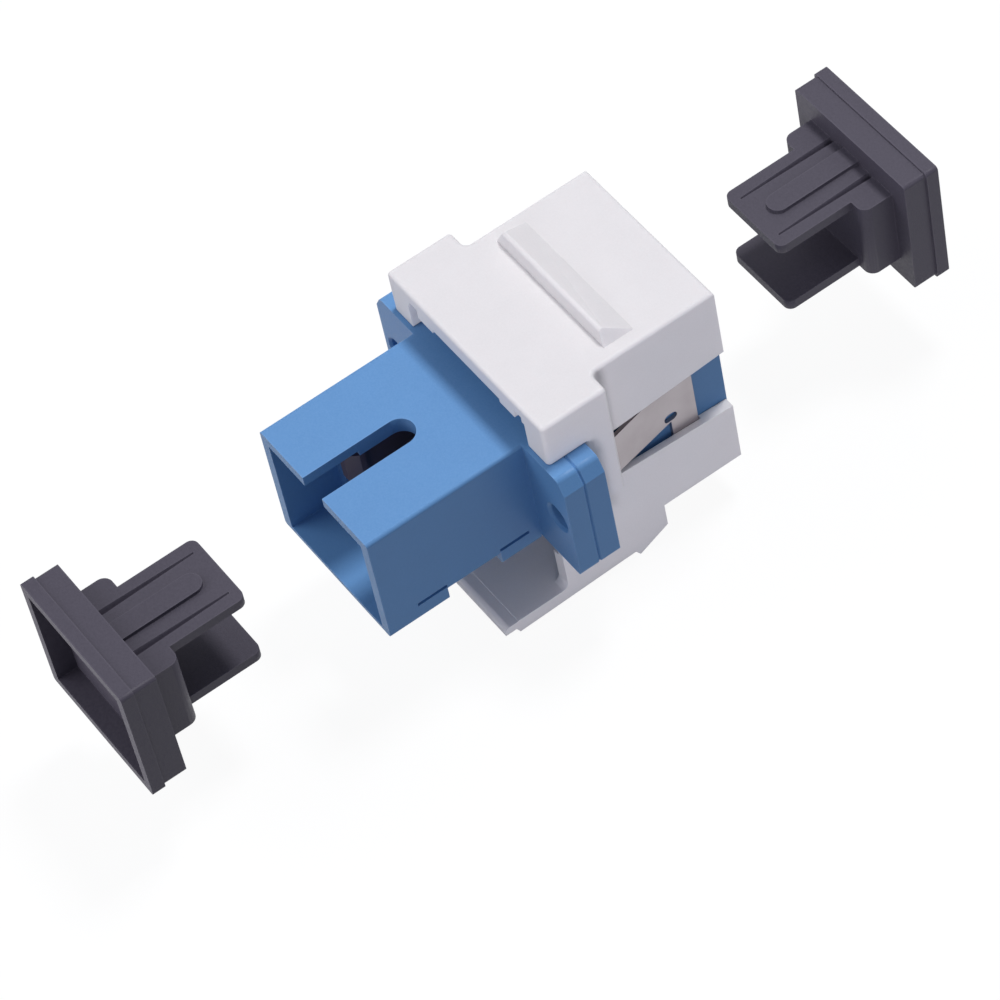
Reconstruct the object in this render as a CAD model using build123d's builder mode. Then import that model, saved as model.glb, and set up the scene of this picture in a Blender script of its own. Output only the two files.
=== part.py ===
"""Flanged fibre coupler held in a snap-in keystone frame, with its two dust caps pulled off."""
from build123d import *
import os

os.makedirs("parts", exist_ok=True)

# Frame of the part: X across the flange, Y along the optical axis with the panel face at +Y,
# Z up to the key slots, origin at the middle of the alignment sleeve. Sizes in millimetres.

# How close an edge or corner lies to a stated place when it is picked for a blend
pick_tolerance = 0.01

# Housing halves
coupler_length = 28.4
port_width = 12.8
port_height = 10.2
port_edge_radius = 0.25
flange_thickness = 1.65
ear_reach = 4.6
flange_height = 9.8
ear_facet_width = 0.65
ear_facet_height = 1.15
ear_facet_blend = 0.5
ear_foot_blend = 0.3
ear_hole_inset = 1.6
ear_hole_radius = 1.0
ear_hole_lead = 0.2
seam_bevel = 0.12
mouth_side_wall = 0.9
mouth_top_wall = 0.85
mouth_bottom_wall = 0.35
mouth_depth = 4.4
guide_width = 9.2
guide_height = 7.5
key_slot_width = 2.3
key_slot_length = 8.2
mouth_pad_length = 4.9
flange_pad_length = 3.25
recess_depth = 0.6
recess_corner_depth = 1.2
recess_corner_width = 1.45
side_slit_length = 2.4
side_slit_height = 0.3
side_slit_depth = 0.3
side_slit_lift = 1.45

# Latch inserts
insert_width = 10.5
insert_height = 8.1
insert_base_depth = 2.4
insert_clearance = 0.05
holder_radius = 2.2
holder_tip_wall = 0.55
holder_tip_lip = 0.15
latch_arm_thickness = 0.8
latch_arm_height = 2.8
latch_arm_gap = 3.55
latch_reach = 10.0
latch_hook_depth = 0.65
latch_hook_length = 1.3
latch_root_radius = 0.3

# Alignment sleeve
sleeve_length = 11.4
sleeve_outer_radius = 1.6
sleeve_bore_radius = 1.25
sleeve_slot_width = 0.45
sleeve_clearance = 0.02
sleeve_end_clearance = 0.1

# Spring clip
clip_sheet = 0.3
clip_front_reach = 11.6
clip_rear_reach = 4.3
clip_leg_height = 7.9
clip_base_clearance = 0.05
tongue_root_reach = 9.5
tongue_tip_reach = 4.15
tongue_spread = 0.5
tongue_root_height = 3.75
tongue_root_middle = 0.325
tongue_tip_height = 3.6
tongue_tip_middle = -0.8
tongue_kerf = 0.2
window_sill = 0.65
root_hole_radius = 0.36
root_hole_drop = 1.425

# Keystone frame
frame_clearance = 0.05
nose_reach = 14.1
frame_top = 8.9
nose_bottom = -8.7
nose_side_wall = 0.5
nose_side_clearance = 0.025
roof_wall = 1.45
floor_wall = 1.3
bezel_clip_gap = 0.15
shoulder_width = 1.75
shoulder_blend = 0.5
block_rear = -1.3
shoulder_reach = 4.0
shoulder_foot = -1.6
shoulder_foot_blend = 2.2
block_end_width = 2.5
block_notch_width = 0.9
block_notch_depth = 0.5
roof_lip_width = 1.7
roof_edge_radius = 0.3
roof_lip_depth = 0.35
slot_top_rear = 1.95
slot_top_front = 2.65
slot_bottom_rear = -2.65
slot_bottom_front = -3.25
wedge_width = 12.3
wedge_rear = 5.9
wedge_front = 8.3
wedge_height = 1.3
wedge_face_slope = 0.2
wedge_end_taper = 0.7
catch_front = 7.5
catch_peak = 5.0
catch_rear = 4.65
catch_step_bottom = -10.8
catch_peak_bottom = -12.05
skirt_bottom_front = -11.5
skirt_bottom_rear = -11.8
skirt_rear = -0.9
skirt_wall = 1.1
skirt_blend_radius = 0.5
shelf_wall = 1.2
shelf_rear = -5.2
tip_rear = -6.35
tip_step = 0.5
tip_height = 0.65
tip_round = 0.45
rib_width = 1.0
rib_pitch = 7.2
frame_edge_radius = 0.3
slot_end_recess = 0.05
wedge_edge_radius = 0.25

# Dust caps
cap_travel = 16.4
cap_lip_width = 12.5
cap_lip_height = 11.0
cap_lip_depth = 1.0
cap_plate_inset = 0.15
cap_plate_depth = 1.8
cap_corner_radius = 0.3
cap_rim = 0.8
cap_recess_depth = 1.6
cap_block_width = 9.1
cap_block_height = 6.8
cap_block_depth = 2.5
cap_block_round = 0.75
cap_leg_width = 6.4
cap_leg_thickness = 0.8
cap_leg_reach = 8.6
cap_leg_corner = 0.6
cap_rib_width = 1.7
cap_rib_height = 0.3
cap_rib_end = 1.5
cap_groove_width = 0.5
cap_groove_depth = 0.4
cap_groove_pitch = 4.3
cap_groove_end = 0.7
cap_groove_fade = 0.3

# Places that follow from the sizes above
half_length = coupler_length / 2
port_half_width = port_width / 2
flange_width = port_width + 2 * ear_reach
ear_hole_pitch = flange_width - 2 * ear_hole_inset
port_half_height = port_height / 2
flange_foot = port_half_height - flange_height
flange_middle = (port_half_height + flange_foot) / 2
mouth_width = port_width - 2 * mouth_side_wall
mouth_height = port_height - mouth_top_wall - mouth_bottom_wall
mouth_middle = (mouth_bottom_wall - mouth_top_wall) / 2
guide_rear = half_length - mouth_depth
recess_length = half_length - flange_thickness - mouth_pad_length - flange_pad_length
recess_middle = flange_thickness + flange_pad_length + recess_length / 2


# Housing half on the -Y side, open for its latch insert at the joint plane, with the top
# of its flange flush with the port's
with BuildPart() as rear_housing:
    flange_half = flange_width / 2
    with BuildSketch(Plane.XZ) as flange_outline:
        with BuildLine():
            Polyline(
                (-flange_half, flange_foot),
                (flange_half, flange_foot),
                (flange_half, port_half_height - ear_facet_height),
                (flange_half - ear_facet_width, port_half_height),
                (ear_facet_width - flange_half, port_half_height),
                (-flange_half, port_half_height - ear_facet_height),
                close=True,
            )
        make_face()
        fillet(flange_outline.vertices().group_by(Axis.Y)[-1], ear_facet_blend)
        fillet(flange_outline.vertices().group_by(Axis.Y)[0], ear_foot_blend)
    extrude(amount=flange_thickness)
    chamfer(rear_housing.faces().sort_by(Axis.Y)[-1].outer_wire().edges(), seam_bevel)
    with BuildSketch(Plane.XZ.offset(flange_thickness)):
        RectangleRounded(port_width, port_height, port_edge_radius)
    extrude(amount=half_length - flange_thickness)

    # Mouth, plug guide and the pocket for the insert's base
    with BuildSketch(Plane.XZ.offset(half_length)):
        with Locations((0, mouth_middle)):
            Rectangle(mouth_width, mouth_height)
    extrude(amount=-mouth_depth, mode=Mode.SUBTRACT)
    with BuildSketch(Plane.XZ):
        Rectangle(guide_width, guide_height)
    extrude(amount=guide_rear, mode=Mode.SUBTRACT)
    with BuildSketch(Plane.XZ):
        Rectangle(insert_width + 2 * insert_clearance, insert_height + 2 * insert_clearance)
    extrude(amount=insert_base_depth + insert_clearance, mode=Mode.SUBTRACT)

    # Screw holes through the ears, with a lead for the screw's tip
    with BuildSketch(Plane.XZ):
        with Locations((0, flange_middle)):
            with GridLocations(ear_hole_pitch, 0, 2, 1):
                Circle(ear_hole_radius)
    extrude(amount=flange_thickness, mode=Mode.SUBTRACT)
    chamfer(
        rear_housing.edges()
        .filter_by(GeomType.CIRCLE)
        .filter_by(lambda edge: abs(edge.radius - ear_hole_radius) < pick_tolerance)
        .group_by(Axis.Y)[0],
        ear_hole_lead,
    )

    # Key slot in the top wall, open at the mouth and round at its end
    with BuildSketch(Plane.XY.offset(port_half_height)):
        with Locations((0, key_slot_width / 2 + key_slot_length - half_length - key_slot_width)):
            Circle(key_slot_width / 2)
        with Locations((0, (key_slot_length - key_slot_width / 2) / 2 - half_length)):
            Rectangle(key_slot_width, key_slot_length - key_slot_width / 2)
    extrude(amount=guide_height / 2 - port_half_height - recess_depth, mode=Mode.SUBTRACT)

    # Recess in the underside, deeper at its corners where the clip wraps round
    with BuildSketch(Plane.XY.offset(-port_half_height)):
        with Locations((0, -recess_middle)):
            Rectangle(port_width, recess_length)
    extrude(amount=recess_depth, mode=Mode.SUBTRACT)
    with BuildSketch(Plane.XY.offset(-port_half_height)):
        with Locations((0, -recess_middle)):
            with GridLocations(port_width - recess_corner_width, 0, 2, 1):
                Rectangle(recess_corner_width, recess_length)
    extrude(amount=recess_corner_depth, mode=Mode.SUBTRACT)

    # Short slits above the two pads on each side
    slit_height = -port_half_height + side_slit_lift
    mouth_slit = mouth_pad_length - half_length - side_slit_length / 2
    flange_slit = -flange_thickness - flange_pad_length + side_slit_length / 2
    for side in (-1, 1):
        with BuildSketch(Plane.YZ.offset(side * port_half_width)):
            with Locations((mouth_slit, slit_height), (flange_slit, slit_height)):
                Rectangle(side_slit_length, side_slit_height)
        extrude(amount=-side * side_slit_depth, mode=Mode.SUBTRACT)
rear_housing.part.label = "rear_housing"
export_step(rear_housing.part, "parts/rear_housing.step")

# The front half is the same moulding turned round, so its key slot is up too
with BuildPart() as front_housing:
    add(rear_housing.part.rotate(Axis.Z, 180))
front_housing.part.label = "front_housing"
export_step(front_housing.part, "parts/front_housing.step")


# Latch insert: a base plate, the sleeve's holder and two spring arms with hooks
holder_reach = sleeve_length / 2 + sleeve_end_clearance + holder_tip_wall
sleeve_seat_radius = sleeve_outer_radius + sleeve_clearance
holder_tip_radius = sleeve_outer_radius - holder_tip_lip
hook_start = latch_reach - latch_hook_length
with BuildPart() as rear_latch_insert:
    with BuildSketch(Plane.XZ):
        Rectangle(insert_width, insert_height)
    extrude(amount=insert_base_depth)
    with BuildSketch(Plane.XZ.offset(insert_base_depth)):
        Circle(holder_radius)
    extrude(amount=holder_reach - insert_base_depth)
    chamfer(rear_latch_insert.edges().group_by(Axis.Y)[0], latch_hook_depth / 2)

    # Spring arms, drawn from above, with a ramp on each hook
    for side in (-1, 1):
        with BuildSketch(Plane.XY.offset(-latch_arm_height / 2)):
            with BuildLine():
                Polyline(
                    (side * latch_arm_gap, -insert_base_depth),
                    (side * latch_arm_gap, -hook_start),
                    (side * (latch_arm_gap - latch_hook_depth), -hook_start),
                    (side * (latch_arm_gap - latch_hook_depth), -hook_start - latch_hook_length / 3),
                    (side * latch_arm_gap, -latch_reach),
                    (side * (latch_arm_gap + latch_arm_thickness), -latch_reach),
                    (side * (latch_arm_gap + latch_arm_thickness), -insert_base_depth),
                    close=True,
                )
            make_face()
        extrude(amount=latch_arm_height)
    fillet(
        rear_latch_insert.edges()
        .filter_by(Axis.Z)
        .filter_by(lambda edge: abs(edge.center().Y + insert_base_depth) < pick_tolerance)
        .filter_by(lambda edge: abs(abs(edge.center().X) - latch_arm_gap) < pick_tolerance),
        latch_root_radius,
    )

    # Seat for the sleeve, and the smaller mouth that keeps the sleeve in
    with BuildSketch(Plane.XZ):
        Circle(sleeve_seat_radius)
    extrude(amount=holder_reach - holder_tip_wall, mode=Mode.SUBTRACT)
    with BuildSketch(Plane.XZ):
        Circle(holder_tip_radius)
    extrude(amount=holder_reach, mode=Mode.SUBTRACT)
rear_latch_insert.part.label = "rear_latch_insert"
export_step(rear_latch_insert.part, "parts/rear_latch_insert.step")

with BuildPart() as front_latch_insert:
    add(rear_latch_insert.part.rotate(Axis.Z, 180))
front_latch_insert.part.label = "front_latch_insert"
export_step(front_latch_insert.part, "parts/front_latch_insert.step")


# Split sleeve that lines the two ferrules up
with BuildPart() as alignment_sleeve:
    with BuildSketch(Plane.XZ.offset(-sleeve_length / 2)):
        Circle(sleeve_outer_radius)
        Circle(sleeve_bore_radius, mode=Mode.SUBTRACT)
        with Locations((0, -sleeve_outer_radius)):
            Rectangle(sleeve_slot_width, 2 * (sleeve_outer_radius - sleeve_slot_width), mode=Mode.SUBTRACT)
    extrude(amount=sleeve_length)
alignment_sleeve.part.label = "alignment_sleeve"
export_step(alignment_sleeve.part, "parts/alignment_sleeve.step")


# Spring clip of sheet steel: a base in the front half's recess, two legs up its sides
# and a tongue lanced out of each leg, whose free end bears on the frame's shoulder wall
clip_inner = port_half_width + clip_base_clearance / 2
clip_outer = clip_inner + clip_sheet
clip_floor = -port_half_height + recess_depth - clip_base_clearance
clip_leg_foot = clip_floor - clip_sheet
clip_leg_middle = (clip_front_reach + clip_rear_reach) / 2
clip_leg_length = clip_front_reach - clip_rear_reach
clip_base_length = recess_length - 2 * clip_base_clearance
clip_leg_top = clip_leg_foot + clip_leg_height
leg_foot = clip_leg_foot + recess_corner_depth / 2
window_front = tongue_root_reach
window_rear = clip_rear_reach + clip_sheet
window_foot = leg_foot + window_sill
window_root_top = tongue_root_middle + tongue_root_height / 2 + tongue_kerf
window_tip_top = tongue_tip_middle + tongue_tip_height / 2 + tongue_kerf

# One tongue: drawn from above, then trimmed to its tapered side view
with BuildPart() as clip_tongue:
    with BuildSketch(Plane.XY.offset(clip_leg_foot)):
        with BuildLine():
            Polyline(
                (clip_inner, window_front),
                (clip_outer, window_front),
                (clip_outer + tongue_spread, tongue_tip_reach),
                (clip_inner + tongue_spread, tongue_tip_reach),
                close=True,
            )
        make_face()
    extrude(amount=clip_leg_height)
    with BuildSketch(Plane.YZ.offset(clip_inner)):
        with BuildLine():
            Polyline(
                (window_front, tongue_root_middle - tongue_root_height / 2),
                (window_front, tongue_root_middle + tongue_root_height / 2),
                (tongue_tip_reach, tongue_tip_middle + tongue_tip_height / 2),
                (tongue_tip_reach, tongue_tip_middle - tongue_tip_height / 2),
                close=True,
            )
        make_face()
    extrude(amount=tongue_spread + clip_sheet, mode=Mode.INTERSECT)

with BuildPart() as spring_clip:
    with BuildSketch(Plane.XY.offset(clip_leg_foot)):
        with Locations((0, recess_middle)):
            Rectangle(2 * clip_outer, clip_base_length)
    extrude(amount=clip_sheet)
    for side in (-1, 1):
        # Leg, whose foot is only as long as the recess that it comes out of, with a window
        # that follows the tongue above and lies open below it
        with BuildSketch(Plane.YZ.offset(side * clip_inner)):
            with Locations((recess_middle, leg_foot)):
                Rectangle(clip_base_length, recess_corner_depth)
            with Locations((clip_leg_middle, (clip_leg_top + leg_foot) / 2)):
                RectangleRounded(clip_leg_length, clip_leg_top - leg_foot, tongue_kerf)
            with BuildLine():
                Polyline(
                    (window_front, window_foot),
                    (window_front, window_root_top),
                    (window_rear, window_tip_top),
                    (window_rear, window_foot),
                    close=True,
                )
            make_face(mode=Mode.SUBTRACT)
        extrude(amount=side * clip_sheet)
    add(clip_tongue.part)
    add(clip_tongue.part.mirror(Plane.YZ))

    # Relief hole at each tongue's root
    for side in (-1, 1):
        with BuildSketch(Plane.YZ.offset(side * clip_inner)):
            with Locations((window_front, tongue_root_middle - root_hole_drop)):
                SlotOverall(3 * root_hole_radius, 2 * root_hole_radius)
        extrude(amount=side * (clip_sheet + root_hole_radius), mode=Mode.SUBTRACT)
spring_clip.part.label = "spring_clip"
export_step(spring_clip.part, "parts/spring_clip.step")


# Keystone frame, one moulding: nose, block with its shoulders, skirt and shelf below
passage_half = clip_outer + nose_side_clearance
nose_half = passage_half + nose_side_wall
block_half = nose_half + shoulder_width
block_width = 2 * block_half
port_gap_half_width = port_half_width + frame_clearance
port_gap_half_height = port_half_height + frame_clearance
flange_face = flange_thickness + frame_clearance
block_foot = port_half_height + frame_clearance
ear_room_foot = flange_foot - frame_clearance
roof_under = frame_top - roof_wall
floor_over = nose_bottom + floor_wall
bezel_rear = clip_front_reach + bezel_clip_gap
shelf_top = skirt_bottom_rear + shelf_wall
tip_bottom = skirt_bottom_rear + tip_step
tip_top = tip_bottom + tip_height
wedge_half = wedge_width / 2

# Snap wedge on the roof, steep at the back, tapered at its ends and fading to the front
with BuildPart() as roof_wedge:
    with BuildSketch(Plane.XZ.offset(-wedge_rear)):
        with BuildLine():
            Polyline(
                (-wedge_half, frame_top),
                (wedge_half, frame_top),
                (wedge_half - wedge_end_taper, frame_top + wedge_height),
                (wedge_end_taper - wedge_half, frame_top + wedge_height),
                close=True,
            )
        make_face()
    extrude(amount=wedge_rear - wedge_front)
    with BuildSketch(Plane.YZ):
        with BuildLine():
            Polyline(
                (wedge_rear, frame_top),
                (wedge_rear + wedge_face_slope, frame_top + wedge_height),
                (wedge_front, frame_top),
                close=True,
            )
        make_face()
    extrude(amount=wedge_half, both=True, mode=Mode.INTERSECT)
    fillet(roof_wedge.edges().group_by(Axis.Z)[-1], wedge_edge_radius)

with BuildPart() as keystone_frame:
    # Side profile of the nose, catch, skirt and shelf
    with BuildSketch(Plane.YZ) as side_profile:
        with BuildLine():
            Polyline(
                (block_rear, frame_top),
                (nose_reach, frame_top),
                (nose_reach, nose_bottom),
                (catch_front, nose_bottom),
                (catch_front, catch_step_bottom),
                (catch_peak, catch_peak_bottom),
                (catch_rear, skirt_bottom_front),
                (shelf_rear, skirt_bottom_rear),
                (shelf_rear - tip_step / 2, tip_bottom),
                (tip_rear, tip_bottom),
                (tip_rear, tip_top),
                (shelf_rear, tip_top),
                (shelf_rear, shelf_top),
                (skirt_rear, shelf_top),
                (skirt_rear, ear_room_foot),
                (flange_face, ear_room_foot),
                (flange_face, block_foot),
                (block_rear, block_foot),
                close=True,
            )
        make_face()
        shelf_corner = side_profile.vertices().filter_by(
            lambda corner: abs(corner.X - skirt_rear) < pick_tolerance and abs(corner.Y - shelf_top) < pick_tolerance
        )
        fillet(shelf_corner, skirt_blend_radius)
        tip_corner = side_profile.vertices().filter_by(
            lambda corner: abs(corner.X - tip_rear) < pick_tolerance and abs(corner.Y - tip_top) < pick_tolerance
        )
        fillet(tip_corner, tip_round)
    extrude(amount=nose_half, both=True)

    # Block behind the shoulders, over the ears
    with BuildSketch(Plane.XY.offset(block_foot)):
        with Locations((0, (shoulder_reach + block_rear) / 2)):
            Rectangle(block_width, shoulder_reach - block_rear)
    extrude(amount=frame_top - block_foot)

    # Shoulder walls in front of the ears, run out into the nose's sides at the foot
    with BuildSketch(Plane.XZ.offset(-flange_face)):
        with BuildLine():
            Polyline(
                (-block_half, block_foot),
                (-block_half, shoulder_foot),
                (-nose_half, shoulder_foot - shoulder_foot_blend),
                (nose_half, shoulder_foot - shoulder_foot_blend),
                (block_half, shoulder_foot),
                (block_half, block_foot),
                close=True,
            )
        make_face()
    extrude(amount=flange_face - shoulder_reach)

    # Outer corners of the block, the blend from its shoulders to the nose, and the roof's edge
    fillet(
        keystone_frame.edges()
        .filter_by(Axis.Z)
        .filter_by(lambda edge: abs(abs(edge.center().X) - block_half) < pick_tolerance),
        frame_edge_radius,
    )
    fillet(
        keystone_frame.edges()
        .filter_by(Axis.Z)
        .filter_by(lambda edge: abs(abs(edge.center().X) - nose_half) < pick_tolerance)
        .filter_by(lambda edge: abs(edge.center().Y - shoulder_reach) < pick_tolerance),
        shoulder_blend,
    )
    fillet(keystone_frame.edges().group_by(Axis.Z)[-1], roof_edge_radius)

    # Passage for the coupler, with the bezel left at the nose's front
    with BuildSketch(Plane.XZ.offset(-block_rear)):
        with Locations((0, (roof_under + floor_over) / 2)):
            Rectangle(2 * passage_half, roof_under - floor_over)
    extrude(amount=block_rear - bezel_rear, mode=Mode.SUBTRACT)
    with BuildSketch(Plane.XZ.offset(-bezel_rear)):
        Rectangle(2 * port_gap_half_width, 2 * port_gap_half_height)
    extrude(amount=bezel_rear - nose_reach, mode=Mode.SUBTRACT)

    # Hollow of the skirt under the coupler, open to the rear
    skirt_inner = 2 * (nose_half - skirt_wall)
    with BuildSketch(Plane.XZ.offset(-skirt_rear + skirt_blend_radius)):
        with Locations((0, (shelf_top + floor_over) / 2)):
            Rectangle(skirt_inner, floor_over - shelf_top)
    extrude(amount=skirt_rear - skirt_blend_radius - catch_rear, mode=Mode.SUBTRACT)

    # Slots open at the front, which let the nose's two jaws bend
    with BuildSketch(Plane.YZ):
        with BuildLine():
            Polyline(
                (shoulder_reach, slot_top_rear),
                (nose_reach, slot_top_front),
                (nose_reach, slot_bottom_front),
                (shoulder_reach, slot_bottom_rear),
                close=True,
            )
        make_face()
    extrude(amount=block_half, both=True, mode=Mode.SUBTRACT)
    with BuildSketch(Plane.YZ):
        with Locations((shoulder_reach, (slot_top_rear + slot_bottom_rear) / 2)):
            Rectangle(2 * slot_end_recess, slot_top_rear - slot_bottom_rear)
    extrude(amount=nose_half, both=True, mode=Mode.SUBTRACT)

    # Stepped rear edge under the roof, between the block's two ends
    ends_inner = block_half - block_end_width
    notch_inner = ends_inner - block_notch_width
    lip_inner = notch_inner - roof_lip_width
    for side in (-1, 1):
        with BuildSketch(Plane.XZ.offset(-block_rear)):
            with Locations((side * (ends_inner + notch_inner) / 2, roof_under)):
                Rectangle(block_notch_width, 2 * block_notch_depth)
        extrude(amount=-block_notch_width, mode=Mode.SUBTRACT)
        with BuildSketch(Plane.XZ.offset(-block_rear)):
            with Locations((side * (notch_inner + lip_inner) / 2, roof_under - roof_lip_depth / 2)):
                Rectangle(roof_lip_width, roof_lip_depth)
        extrude(amount=-roof_lip_width)

    # Ribs that hold the coupler level, above and below
    for rib_far, rib_near in ((roof_under, port_gap_half_height), (floor_over, -port_gap_half_height)):
        with BuildSketch(Plane.XY.offset(rib_near)):
            with Locations((0, (shoulder_reach + bezel_rear) / 2)):
                with GridLocations(rib_pitch, 0, 2, 1):
                    Rectangle(rib_width, bezel_rear - shoulder_reach)
        extrude(amount=rib_far - rib_near)

    add(roof_wedge.part)
keystone_frame.part.label = "keystone_frame"
export_step(keystone_frame.part, "parts/keystone_frame.step")


# Dust cap: a lipped plate with a hollow face, a block that enters the mouth and two legs
cap_plate_face = half_length + cap_travel
cap_outer_face = cap_plate_face + cap_plate_depth + cap_lip_depth
cap_leg_tip = cap_plate_face - cap_leg_reach
cap_block_front = cap_plate_face - cap_block_depth
leg_face = cap_block_height / 2
rib_tip = cap_leg_tip + cap_rib_end + cap_rib_width / 2

# Groove cutter for the upper leg, deep at the plate and fading towards the leg's tip
with BuildPart() as cap_groove:
    for place, share in ((cap_plate_face, 1), (cap_leg_tip + cap_groove_end, cap_groove_fade)):
        with BuildSketch(Plane.XZ.offset(place)):
            with BuildLine():
                Polyline(
                    (-share * cap_groove_width / 2, leg_face),
                    (share * cap_groove_width / 2, leg_face),
                    (0, leg_face - share * cap_groove_depth),
                    close=True,
                )
            make_face()
    loft()

with BuildPart() as rear_dust_cap:
    with BuildSketch(Plane.XZ.offset(cap_outer_face)):
        RectangleRounded(cap_lip_width, cap_lip_height, cap_corner_radius)
    extrude(amount=-cap_lip_depth)
    with BuildSketch(Plane.XZ.offset(cap_plate_face)):
        RectangleRounded(
            cap_lip_width - 2 * cap_plate_inset, cap_lip_height - 2 * cap_plate_inset, cap_corner_radius
        )
    extrude(amount=cap_plate_depth)
    with BuildSketch(Plane.XZ.offset(cap_outer_face)):
        Rectangle(cap_lip_width - 2 * cap_rim, cap_lip_height - 2 * cap_rim)
    extrude(amount=-cap_recess_depth, mode=Mode.SUBTRACT)

    # Block with rounded shoulders on both sides of the legs
    with BuildSketch(Plane.XZ.offset(cap_plate_face)):
        Rectangle(cap_block_width, cap_block_height)
    extrude(amount=-cap_block_depth)
    fillet(
        rear_dust_cap.edges()
        .filter_by(Axis.Z)
        .filter_by(lambda edge: abs(edge.center().Y + cap_block_front) < pick_tolerance),
        cap_block_round,
    )

    # Legs above and below, each with a round-ended rib and two grooves on its outer face
    for side, cutter in ((1, cap_groove.part), (-1, cap_groove.part.mirror(Plane.XY))):
        with BuildSketch(Plane.XY.offset(side * leg_face)) as leg_outline:
            with Locations((0, -(cap_plate_face + cap_leg_tip) / 2)):
                Rectangle(cap_leg_width, cap_leg_reach)
            fillet(leg_outline.vertices().group_by(Axis.Y)[-1], cap_leg_corner)
        extrude(amount=-side * cap_leg_thickness)
        with Locations((-cap_groove_pitch / 2, 0, 0), (cap_groove_pitch / 2, 0, 0)):
            add(cutter, mode=Mode.SUBTRACT)
        with BuildSketch(Plane.XY.offset(side * leg_face)):
            with Locations((0, -rib_tip)):
                Circle(cap_rib_width / 2)
            with Locations((0, -(rib_tip + cap_plate_face) / 2)):
                Rectangle(cap_rib_width, cap_plate_face - rib_tip)
        extrude(amount=side * cap_rib_height)
rear_dust_cap.part.label = "rear_dust_cap"
export_step(rear_dust_cap.part, "parts/rear_dust_cap.step")

with BuildPart() as front_dust_cap:
    add(rear_dust_cap.part.rotate(Axis.Z, 180))
front_dust_cap.part.label = "front_dust_cap"
export_step(front_dust_cap.part, "parts/front_dust_cap.step")
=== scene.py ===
"""Dresses the keystone fibre coupler: moulded plastics, spring steel, floor, light and camera."""
import math

import bpy
from mathutils import Matrix, Vector


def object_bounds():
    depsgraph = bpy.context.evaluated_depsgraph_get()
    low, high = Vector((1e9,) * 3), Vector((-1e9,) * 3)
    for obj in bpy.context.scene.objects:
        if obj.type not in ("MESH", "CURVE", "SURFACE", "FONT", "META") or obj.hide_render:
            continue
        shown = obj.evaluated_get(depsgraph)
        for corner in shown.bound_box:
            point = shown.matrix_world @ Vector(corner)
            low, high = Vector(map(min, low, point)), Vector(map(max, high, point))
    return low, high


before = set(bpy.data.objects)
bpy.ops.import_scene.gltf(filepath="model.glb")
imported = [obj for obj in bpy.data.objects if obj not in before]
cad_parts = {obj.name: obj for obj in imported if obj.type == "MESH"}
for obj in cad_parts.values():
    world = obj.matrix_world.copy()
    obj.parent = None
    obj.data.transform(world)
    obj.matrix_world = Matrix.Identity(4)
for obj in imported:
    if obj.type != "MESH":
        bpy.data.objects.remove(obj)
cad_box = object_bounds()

MM = 0.001

# Linear colours, brought close to the photograph's by comparing renders with it
# Each plastic's second colour tints its random specks and, lighter, is painted along its edges as
# a highlight
BLUE = (0.120, 0.285, 0.560)
BLUE_SPECK_AND_EDGE_HIGHLIGHT = (0.185, 0.365, 0.645)
WHITE = (0.740, 0.712, 0.712)
WHITE_SPECK_AND_EDGE_HIGHLIGHT = (0.810, 0.785, 0.785)
INSERT = (0.130, 0.095, 0.120)
INSERT_SPECK_AND_EDGE_HIGHLIGHT = (0.170, 0.130, 0.160)
CERAMIC = (0.860, 0.845, 0.810)
STEEL = (0.385, 0.355, 0.378)
STEEL_DARK = (0.315, 0.285, 0.300)
CAP = (0.053, 0.047, 0.067)
CAP_SPECK_AND_EDGE_HIGHLIGHT = (0.098, 0.089, 0.116)
FLOOR = (0.420, 0.420, 0.430)
PURE_WHITE = (1.0, 1.0, 1.0)

# Camera fitted to the photograph: place in metres, angles in degrees
CAMERA_PLACE = (0.19759, -0.09271, 0.27110)
CAMERA_AZIMUTH = 65.127
CAMERA_ELEVATION = 52.008
CAMERA_ROLL = -13.209
CAMERA_LENS = 185.84
CAMERA_SENSOR = 36.0

# Rounding that dress adds to sharp edges
EDGE_RADIUS = 0.09 * MM
EDGE_ANGLE = math.radians(32)
EDGE_SEGMENTS = 2
WELD_DISTANCE = 0.001 * MM

# Moulded plastic: slow mottling and fine specks of colour, roughness round its mean, soft waves
MOTTLE_SIZE = 2.6 * MM
MOTTLE_SHADE = 0.95
MOTTLE_SHARE = 0.55
SPECK_GRAINS = 2.2
SPECK_SHARE = 0.22
SMOOTHER = 0.06
ROUGHER = 0.08
WAVE_SIZE = 5.0 * MM
WAVE_DEPTH = 0.006 * MM

# Painted edge highlight, a lighter colour along edges: how far round an edge it reaches, its
# least share of the full highlight, and the cosines between true and rounded normals at which it
# is full and gone
EDGE_HIGHLIGHT_RADIUS = 0.2 * MM
EDGE_HIGHLIGHT_LEAST = 0.55
EDGE_HIGHLIGHT_FULL = 0.82
EDGE_HIGHLIGHT_GONE = 0.995
EDGE_HIGHLIGHT_SAMPLES = 4

# Floor: its half width, the gap below the CAD box, and the glow that shows it near white
FLOOR_HALF = 0.6
FLOOR_GAP = 0.02 * MM
FLOOR_GRAIN = 0.8 * MM
FLOOR_SHADE = 0.99
FLOOR_ROUGHNESS = 0.85
FLOOR_SPECULAR = 0.1
GLOW_STRENGTH = 1.14
GLOW_SHARE = 0.82

# Even light of the surroundings
WORLD_COLOUR = (0.88, 0.94, 1.12)
WORLD_STRENGTH = 0.30


def link(tree, source, target):
    """Joins two sockets of a node tree."""
    tree.links.new(source, target)


def set_inputs(node, **inputs):
    """Sets a node's inputs by name (spaces written as underscores)."""
    for name, value in inputs.items():
        node.inputs[name.replace("_", " ")].default_value = value


def add_node(tree, kind, **inputs):
    """A new node, with its inputs set by name."""
    node = tree.nodes.new(kind)
    set_inputs(node, **inputs)
    return node


def new_material(name):
    """A new material, with its node tree and its shader."""
    material = bpy.data.materials.new(name)
    material.use_nodes = True
    tree = material.node_tree
    return material, tree, tree.nodes["Principled BSDF"]


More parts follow.
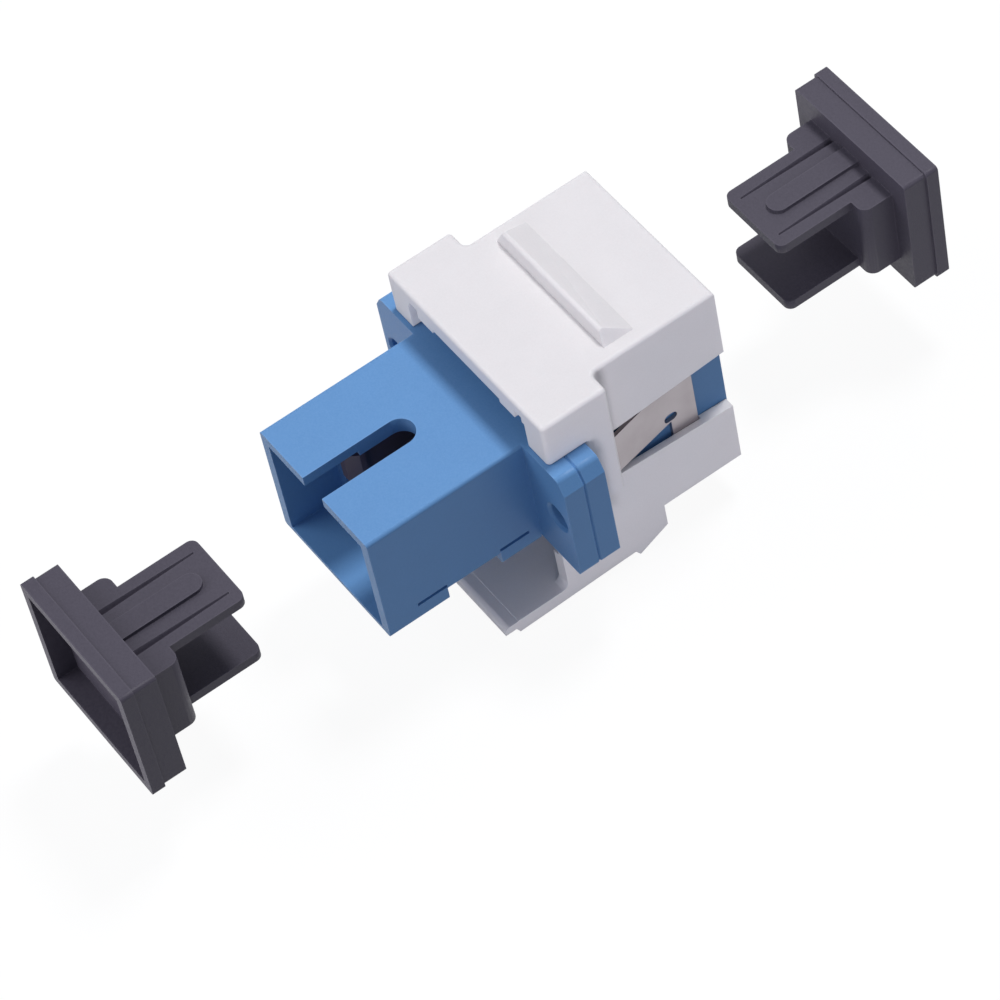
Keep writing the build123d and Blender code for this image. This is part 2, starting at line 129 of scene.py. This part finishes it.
def noise(tree, size, detail, stretch=(1.0, 1.0, 1.0)):
    """Noise value whose grains are about size metres across, longer where stretch is above 1."""
    place = tree.nodes.new("ShaderNodeTexCoord").outputs["Object"]
    mapping = add_node(tree, "ShaderNodeMapping", Scale=[1.0 / s for s in stretch])
    link(tree, place, mapping.inputs["Vector"])
    texture = add_node(tree, "ShaderNodeTexNoise", Scale=1.0 / size, Detail=detail)
    link(tree, mapping.outputs["Vector"], texture.inputs["Vector"])
    return texture.outputs["Fac"]


def remap(tree, value, low, high, start=0.3, end=0.7):
    """The value's start to end spread over low to high."""
    node = add_node(
        tree, "ShaderNodeMapRange", From_Min=start, From_Max=end, To_Min=low, To_Max=high
    )
    link(tree, value, node.inputs["Value"])
    return node.outputs["Result"]


def calculate(tree, operation, first, second):
    """Result of an operation on a socket and a second socket or plain number."""
    node = tree.nodes.new("ShaderNodeMath")
    node.operation = operation
    link(tree, first, node.inputs[0])
    if isinstance(second, float):
        node.inputs[1].default_value = second
    else:
        link(tree, second, node.inputs[1])
    return node.outputs["Value"]


def blend_colour(tree, factor, first, second):
    """Colour between first and second, each a colour or a socket."""
    node = tree.nodes.new("ShaderNodeMix")
    node.data_type = "RGBA"
    sockets = {s.identifier: s for s in node.inputs}
    link(tree, factor, sockets["Factor_Float"])
    for identifier, colour in (("A_Color", first), ("B_Color", second)):
        if isinstance(colour, tuple):
            sockets[identifier].default_value = (*colour, 1.0)
        else:
            link(tree, colour, sockets[identifier])
    return {s.identifier: s for s in node.outputs}["Result_Color"]


def darkened(colour, share):
    """The colour at a share of its brightness."""
    return tuple(share * c for c in colour)


def edge_highlight_mask(tree, radius, strength):
    """Value that rises from 0 on flats to strength on edges, the mask of a painted edge
    highlight.
    """
    bevel = add_node(tree, "ShaderNodeBevel", Radius=radius)
    bevel.samples = EDGE_HIGHLIGHT_SAMPLES
    geometry = tree.nodes.new("ShaderNodeNewGeometry")
    dot = tree.nodes.new("ShaderNodeVectorMath")
    dot.operation = "DOT_PRODUCT"
    link(tree, bevel.outputs["Normal"], dot.inputs[0])
    link(tree, geometry.outputs["Normal"], dot.inputs[1])
    return remap(tree, dot.outputs["Value"], strength, 0.0, start=EDGE_HIGHLIGHT_FULL, end=EDGE_HIGHLIGHT_GONE)


def bump(tree, shader, layers):
    """Stacks bump layers, each a height value and its depth in metres, on the shader."""
    below = None
    for height, depth in layers:
        node = add_node(tree, "ShaderNodeBump", Strength=1.0, Distance=depth)
        link(tree, height, node.inputs["Height"])
        if below is not None:
            link(tree, below, node.inputs["Normal"])
        below = node.outputs["Normal"]
    link(tree, below, shader.inputs["Normal"])


def seen_directly(tree):
    """1 for rays from the camera and for those that gloss or glass sends on, otherwise 0."""
    path = tree.nodes.new("ShaderNodeLightPath")
    total = path.outputs["Is Camera Ray"]
    for kind in ("Is Glossy Ray", "Is Transmission Ray"):
        total = calculate(tree, "MAXIMUM", total, path.outputs[kind])
    return total


def mix_to_surface(tree, factor, first, second, output):
    """Sends two shaders to the output node's surface, the second at the factor's share."""
    mixer = tree.nodes.new("ShaderNodeMixShader")
    link(tree, factor, mixer.inputs["Fac"])
    link(tree, first, mixer.inputs[1])
    link(tree, second, mixer.inputs[2])
    link(tree, mixer.outputs["Shader"], tree.nodes[output].inputs["Surface"])


def moulded(name, colour, speck_and_highlight, roughness, grain, depth, edge_highlight_strength, specular=0.5):
    """Injection-moulded plastic: spark-eroded grain, faint flow mottling and rubbed edges.

    Grain and depth are the size and depth of its grain in metres. Edges turn to the lighter
    second colour as a painted highlight, as far as the strength given after depth says; that
    colour also tints specks.
    """
    material, tree, shader = new_material(name)
    set_inputs(shader, Specular_IOR_Level=specular)
    mottle = noise(tree, MOTTLE_SIZE, detail=4.0)
    speck = noise(tree, SPECK_GRAINS * grain, detail=2.0)
    mottling = remap(tree, mottle, 0.0, MOTTLE_SHARE)
    base = blend_colour(tree, mottling, colour, darkened(colour, MOTTLE_SHADE))
    base = blend_colour(tree, remap(tree, speck, 0.0, SPECK_SHARE), base, speck_and_highlight)
    # Painted highlight: edges lightened towards the second colour, patchy with the mottling
    highlight_on_edges = edge_highlight_mask(tree, EDGE_HIGHLIGHT_RADIUS, edge_highlight_strength)
    edges = calculate(tree, "MULTIPLY", highlight_on_edges, remap(tree, mottle, 1.0, EDGE_HIGHLIGHT_LEAST))
    link(tree, blend_colour(tree, edges, base, speck_and_highlight), shader.inputs["Base Color"])
    rough = remap(tree, speck, roughness - SMOOTHER, roughness + ROUGHER)
    link(tree, rough, shader.inputs["Roughness"])
    waves = noise(tree, WAVE_SIZE, detail=1.0)
    grains = noise(tree, grain, detail=3.0)
    bump(tree, shader, ((waves, WAVE_DEPTH), (grains, depth)))
    return material


def brushed_steel(name):
    """Rolled spring steel: fine lines along the sheet and dull handling marks."""
    material, tree, shader = new_material(name)
    set_inputs(shader, Metallic=1.0)
    lines = noise(tree, 0.05 * MM, detail=4.0, stretch=(1.0, 40.0, 1.0))
    marks = noise(tree, 2.5 * MM, detail=3.0)
    base = blend_colour(tree, remap(tree, marks, low=0.0, high=0.6), STEEL, STEEL_DARK)
    base = blend_colour(tree, remap(tree, lines, low=0.0, high=0.25), base, STEEL)
    link(tree, base, shader.inputs["Base Color"])
    link(tree, remap(tree, marks, low=0.36, high=0.46), shader.inputs["Roughness"])
    bump(tree, shader, ((marks, 0.002 * MM), (lines, 0.0008 * MM)))
    return material


def ceramic(name):
    """Ground zirconia: ivory, close-grained, with fine turning lines."""
    material, tree, shader = new_material(name)
    set_inputs(shader, Coat_Weight=0.2)
    rings = noise(tree, 0.06 * MM, detail=2.0, stretch=(30.0, 1.0, 30.0))
    cloud = noise(tree, 1.5 * MM, detail=3.0)
    clouding = remap(tree, cloud, low=0.0, high=0.6)
    base = blend_colour(tree, clouding, CERAMIC, darkened(CERAMIC, 0.9))
    link(tree, base, shader.inputs["Base Color"])
    link(tree, remap(tree, rings, low=0.16, high=0.28), shader.inputs["Roughness"])
    bump(tree, shader, ((rings, 0.0008 * MM),))
    return material


def dress(node, material):
    """Gives a CAD node its material, and rounds its sharp edges a little as moulding does."""
    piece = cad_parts[node]
    piece.data.materials.clear()
    piece.data.materials.append(material)
    weld = piece.modifiers.new("weld", "WELD")
    weld.merge_threshold = WELD_DISTANCE
    bevel = piece.modifiers.new("edges", "BEVEL")
    bevel.width = EDGE_RADIUS
    bevel.segments = EDGE_SEGMENTS
    bevel.limit_method = "ANGLE"
    bevel.angle_limit = EDGE_ANGLE
    bevel.harden_normals = True


def pale_floor(height):
    """Plain pale floor that shows near white to the camera and keeps the object's shadow."""
    mesh = bpy.data.meshes.new("floor")
    square = ((-1, -1), (1, -1), (1, 1), (-1, 1))
    corners = [(x * FLOOR_HALF, y * FLOOR_HALF, height) for x, y in square]
    mesh.from_pydata(corners, [], [(0, 1, 2, 3)])
    floor = bpy.data.objects.new("floor", mesh)
    bpy.context.scene.collection.objects.link(floor)
    material, tree, shader = new_material("floor")
    grain = remap(tree, noise(tree, FLOOR_GRAIN, detail=3.0), 0.0, 1.0)
    base = blend_colour(tree, grain, FLOOR, darkened(FLOOR, FLOOR_SHADE))
    link(tree, base, shader.inputs["Base Color"])
    set_inputs(shader, Roughness=FLOOR_ROUGHNESS, Specular_IOR_Level=FLOOR_SPECULAR)
    glow = add_node(
        tree, "ShaderNodeEmission", Color=(*PURE_WHITE, 1.0), Strength=GLOW_STRENGTH
    )
    mix_to_surface(
        tree,
        calculate(tree, "MULTIPLY", seen_directly(tree), GLOW_SHARE),
        shader.outputs["BSDF"],
        glow.outputs["Emission"],
        "Material Output",
    )
    mesh.materials.append(material)


def white_world():
    """World that lights evenly and shows plain white to the camera."""
    world = bpy.data.worlds.new("studio")
    bpy.context.scene.world = world
    world.use_nodes = True
    tree = world.node_tree
    light = tree.nodes["Background"]
    set_inputs(light, Color=(*WORLD_COLOUR, 1.0), Strength=WORLD_STRENGTH)
    shown = add_node(tree, "ShaderNodeBackground", Color=(*PURE_WHITE, 1.0), Strength=1.0)
    mix_to_surface(
        tree,
        seen_directly(tree),
        light.outputs["Background"],
        shown.outputs["Background"],
        "World Output",
    )


def softbox(name, place, size, power, aim=(0.0, 0.0, 0.0), colour=PURE_WHITE, only=()):
    """Square area lamp at place, turned to aim, all in metres and watts.

    Where only names nodes, the lamp's light is kept to them, as a small reflector held near
    them would.
    """
    data = bpy.data.lights.new(name, "AREA")
    data.shape = "SQUARE"
    data.size = size
    data.energy = power
    data.color = colour
    lamp = bpy.data.objects.new(name, data)
    lamp.location = place
    lamp.rotation_mode = "QUATERNION"
    lamp.rotation_quaternion = (Vector(aim) - Vector(place)).to_track_quat("-Z", "Y")
    bpy.context.scene.collection.objects.link(lamp)
    if only:
        receivers = bpy.data.collections.new(name + "_receivers")
        for node in only:
            receivers.objects.link(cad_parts[node])
        lamp.light_linking.receiver_collection = receivers


def photo_camera():
    """Camera at the photograph's place and angle."""
    azimuth, elevation, roll = (
        math.radians(angle) for angle in (CAMERA_AZIMUTH, CAMERA_ELEVATION, CAMERA_ROLL)
    )
    back = Vector(
        (
            math.sin(azimuth) * math.cos(elevation),
            -math.cos(azimuth) * math.cos(elevation),
            math.sin(elevation),
        )
    )
    level = Vector((0.0, 0.0, 1.0)).cross(back).normalized()
    upright = back.cross(level)
    right = math.cos(roll) * level + math.sin(roll) * upright
    up = back.cross(right)
    data = bpy.data.cameras.new("camera")
    data.lens = CAMERA_LENS
    data.sensor_width = CAMERA_SENSOR
    data.clip_start = 0.01
    data.clip_end = 10.0
    camera = bpy.data.objects.new("camera", data)
    camera.matrix_world = Matrix.LocRotScale(
        Vector(CAMERA_PLACE), Matrix((right, up, back)).transposed(), None
    )
    bpy.context.scene.collection.objects.link(camera)
    bpy.context.scene.camera = camera


# Each plastic's second colour is painted along its edges as a highlight, and tints its specks
blue_plastic = moulded(
    "blue_plastic",
    BLUE,
    BLUE_SPECK_AND_EDGE_HIGHLIGHT,
    roughness=0.42,
    grain=0.06 * MM,
    depth=0.0035 * MM,
    edge_highlight_strength=0.7,
    specular=0.22,
)
white_plastic = moulded(
    "white_plastic",
    WHITE,
    WHITE_SPECK_AND_EDGE_HIGHLIGHT,
    roughness=0.5,
    grain=0.07 * MM,
    depth=0.004 * MM,
    edge_highlight_strength=0.2,
    specular=0.2,
)
set_inputs(
    white_plastic.node_tree.nodes["Principled BSDF"],
    Subsurface_Weight=0.3,
    Subsurface_Radius=(0.9 * MM, 0.8 * MM, 0.8 * MM),
    Subsurface_Scale=1.0,
)
insert_plastic = moulded(
    "insert_plastic",
    INSERT,
    INSERT_SPECK_AND_EDGE_HIGHLIGHT,
    roughness=0.45,
    grain=0.06 * MM,
    depth=0.003 * MM,
    edge_highlight_strength=0.5,
)
cap_plastic = moulded(
    "cap_plastic",
    CAP,
    CAP_SPECK_AND_EDGE_HIGHLIGHT,
    roughness=0.5,
    grain=0.09 * MM,
    depth=0.008 * MM,
    edge_highlight_strength=0.8,
    specular=0.25,
)

dress("rear_housing", blue_plastic)
dress("front_housing", blue_plastic)
dress("rear_latch_insert", insert_plastic)
dress("front_latch_insert", insert_plastic)
dress("alignment_sleeve", ceramic("ceramic"))
dress("spring_clip", brushed_steel("spring_steel"))
dress("keystone_frame", white_plastic)
dress("rear_dust_cap", cap_plastic)
dress("front_dust_cap", cap_plastic)

pale_floor(cad_box[0].z - FLOOR_GAP)
white_world()
softbox("top_light", place=(-0.04, 0.16, 0.45), size=0.10, power=1.38)
softbox("rear_light", place=(-0.20, -0.30, 0.34), size=0.3, power=0.70)
softbox(
    "frame_fill",
    place=(0.42, -0.22, 0.07),
    size=0.14,
    power=0.8,
    colour=(0.96, 0.96, 1.06),
    only=("keystone_frame", "spring_clip"),
)
softbox(
    "cap_fill",
    place=(-0.03, -0.49, 0.11),
    size=0.2,
    power=1.0,
    only=("rear_dust_cap", "front_dust_cap"),
)
softbox(
    "front_cap_fill",
    place=(0.33, -0.26, 0.16),
    size=0.2,
    power=0.60,
    aim=(0.0, 0.03, 0.0),
    only=("front_dust_cap",),
)
photo_camera()
bpy.context.scene.view_settings.view_transform = "Standard"
